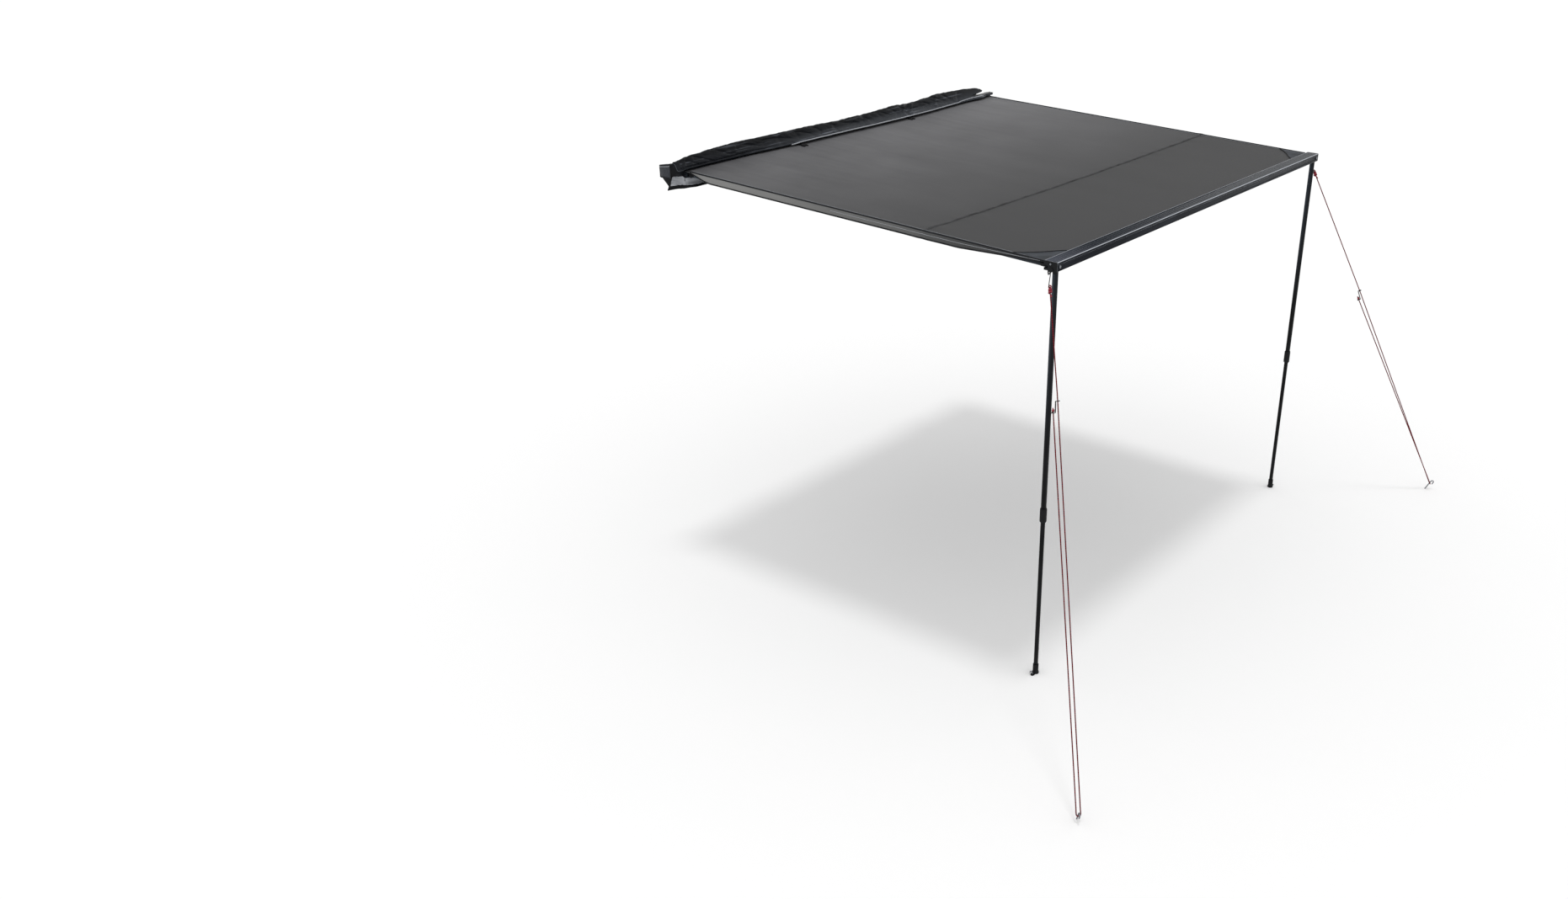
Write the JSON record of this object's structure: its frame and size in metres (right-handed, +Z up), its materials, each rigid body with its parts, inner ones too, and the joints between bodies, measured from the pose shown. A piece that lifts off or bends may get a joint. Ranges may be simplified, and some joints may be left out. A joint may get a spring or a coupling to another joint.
{
  "type": "vehicle side awning",
  "caption": "Roll-out vehicle side awning, shown open, with hinged telescopic rafters, folding telescopic legs, a storage bag and guy ropes.",
  "frame": {"origin": "middle of the back rail's rear face, between its two bolt tracks", "axes": "+X along the rails to the end that is farther away in the picture, +Y back towards the vehicle, +Z up"},
  "size_m": [3.8097, 2.8787, 2.2031],
  "materials": {
    "anodised": "dark anodised extrusion",
    "painted": "satin black powder coat",
    "moulded": "moulded black nylon",
    "steel": "bright zinc-plated steel",
    "black_steel": "blackened steel",
    "canvas": "grey coated ripstop canvas",
    "vinyl": "black vinyl-coated cloth",
    "webbing": "black webbing",
    "cordage": "red braided cord"
  },
  "bodies": {
    "rail_assembly": {"back_rail": "anodised", "bag_flap": "vinyl", "bag_tray": "vinyl", "canopy": "canvas", "back_rail_cap_left": "moulded", "bag_end_left": "vinyl", "rafter_clevis_left": "painted", "rafter_pin_left": "steel", "bag_strap_left": "webbing", "strap_buckle_left": "moulded", "back_rail_cap_right": "moulded", "bag_end_right": "vinyl", "rafter_clevis_right": "painted", "rafter_pin_right": "steel", "bag_strap_right": "webbing", "strap_buckle_right": "moulded"},
    "front_rail": {"front_rail": "anodised", "front_rail_cap_left": "moulded", "leg_bolt_left": "steel", "guy_hook_left": "black_steel", "guy_knot_left": "cordage", "guy_runner_left": "black_steel", "guy_rope_left": "cordage", "guy_peg_left": "steel", "front_rail_cap_right": "moulded", "leg_bolt_right": "steel", "guy_hook_right": "black_steel", "guy_knot_right": "cordage", "guy_runner_right": "black_steel", "guy_rope_right": "cordage", "guy_peg_right": "steel"},
    "bracket_left": {"mount_bracket_left": "painted", "bracket_bolt_left": "steel", "bracket_nut_left": "steel"},
    "rafter_outer_left": {"rafter_knuckle_left": "moulded", "rafter_outer_tube_left": "painted"},
    "rafter_lock_left": {"rafter_lock_left": "moulded"},
    "rafter_inner_left": {"rafter_inner_tube_left": "painted", "rafter_tip_left": "moulded"},
    "leg_upper_left": {"leg_knuckle_left": "moulded", "leg_outer_tube_left": "painted"},
    "leg_lock_left": {"leg_lock_left": "moulded"},
    "leg_lower_left": {"leg_inner_tube_left": "painted", "leg_foot_left": "moulded"},
    "leg_peg_left": {"leg_peg_left": "steel"},
    "bracket_right": {"mount_bracket_right": "painted", "bracket_bolt_right": "steel", "bracket_nut_right": "steel"},
    "rafter_outer_right": {"rafter_knuckle_right": "moulded", "rafter_outer_tube_right": "painted"},
    "rafter_lock_right": {"rafter_lock_right": "moulded"},
    "rafter_inner_right": {"rafter_inner_tube_right": "painted", "rafter_tip_right": "moulded"},
    "leg_upper_right": {"leg_knuckle_right": "moulded", "leg_outer_tube_right": "painted"},
    "leg_lock_right": {"leg_lock_right": "moulded"},
    "leg_lower_right": {"leg_inner_tube_right": "painted", "leg_foot_right": "moulded"},
    "leg_peg_right": {"leg_peg_right": "steel"}
  },
  "joints": [
    {"name": "front_rail_slide", "type": "slide", "parent": "rail_assembly", "child": "front_rail", "axis": [0, 0.9993, 0.0367], "range_m": [0, 0.85], "deforming": ["canopy"]},
    {"name": "bracket_left_slide", "type": "slide", "parent": "rail_assembly", "child": "bracket_left", "axis": [1, 0, 0], "range_m": [-0.35, 0.35]},
    {"name": "rafter_left_hinge", "type": "hinge", "parent": "rail_assembly", "child": "rafter_outer_left", "pos_m": [-1.228, -0.038, 0], "axis": [0, -0.0367, 0.9993], "range_deg": [0, 90]},
    {"name": "rafter_left_slide", "type": "slide", "parent": "rafter_outer_left", "child": "rafter_inner_left", "axis": [0, 0.9993, 0.0367], "range_m": [0, 0.85]},
    {"name": "rafter_left_lock", "type": "hinge", "parent": "rafter_outer_left", "child": "rafter_lock_left", "pos_m": [-1.228, -0.038, 0], "axis": [0, -0.9993, -0.0367], "range_deg": [0, 90]},
    {"name": "leg_left_fold", "type": "hinge", "parent": "front_rail", "child": "leg_upper_left", "pos_m": [-1.233, -2.0665, -0.0705], "axis": [0, -1, 0], "range_deg": [0, 90]},
    {"name": "leg_left_slide", "type": "slide", "parent": "leg_upper_left", "child": "leg_lower_left", "axis": [0, 0, 1], "range_m": [0, 0.7]},
    {"name": "leg_left_lock", "type": "hinge", "parent": "leg_upper_left", "child": "leg_lock_left", "pos_m": [-1.233, -2.0665, -0.0705], "axis": [0, 0, 1], "range_deg": [0, 90]},
    {"name": "leg_left_peg", "type": "slide", "parent": "leg_lower_left", "child": "leg_peg_left", "axis": [0, 0, 1], "range_m": [0, 0.15]},
    {"name": "bracket_right_slide", "type": "slide", "parent": "rail_assembly", "child": "bracket_right", "axis": [1, 0, 0], "range_m": [-0.35, 0.35]},
    {"name": "rafter_right_hinge", "type": "hinge", "parent": "rail_assembly", "child": "rafter_outer_right", "pos_m": [1.228, -0.038, 0], "axis": [0, 0.0367, -0.9993], "range_deg": [0, 90]},
    {"name": "rafter_right_slide", "type": "slide", "parent": "rafter_outer_right", "child": "rafter_inner_right", "axis": [0, 0.9993, 0.0367], "range_m": [0, 0.85]},
    {"name": "rafter_right_lock", "type": "hinge", "parent": "rafter_outer_right", "child": "rafter_lock_right", "pos_m": [1.228, -0.038, 0], "axis": [0, -0.9993, -0.0367], "range_deg": [0, 90]},
    {"name": "leg_right_fold", "type": "hinge", "parent": "front_rail", "child": "leg_upper_right", "pos_m": [1.233, -2.0665, -0.0705], "axis": [0, 1, 0], "range_deg": [0, 90]},
    {"name": "leg_right_slide", "type": "slide", "parent": "leg_upper_right", "child": "leg_lower_right", "axis": [0, 0, 1], "range_m": [0, 0.7]},
    {"name": "leg_right_lock", "type": "hinge", "parent": "leg_upper_right", "child": "leg_lock_right", "pos_m": [1.233, -2.0665, -0.0705], "axis": [0, 0, 1], "range_deg": [0, 90]},
    {"name": "leg_right_peg", "type": "slide", "parent": "leg_lower_right", "child": "leg_peg_right", "axis": [0, 0, 1], "range_m": [0, 0.15]}
  ],
  "couplings": [
    {"joint": "rafter_left_slide", "follows": "front_rail_slide", "ratio": 1},
    {"joint": "rafter_right_slide", "follows": "front_rail_slide", "ratio": 1}
  ]
}
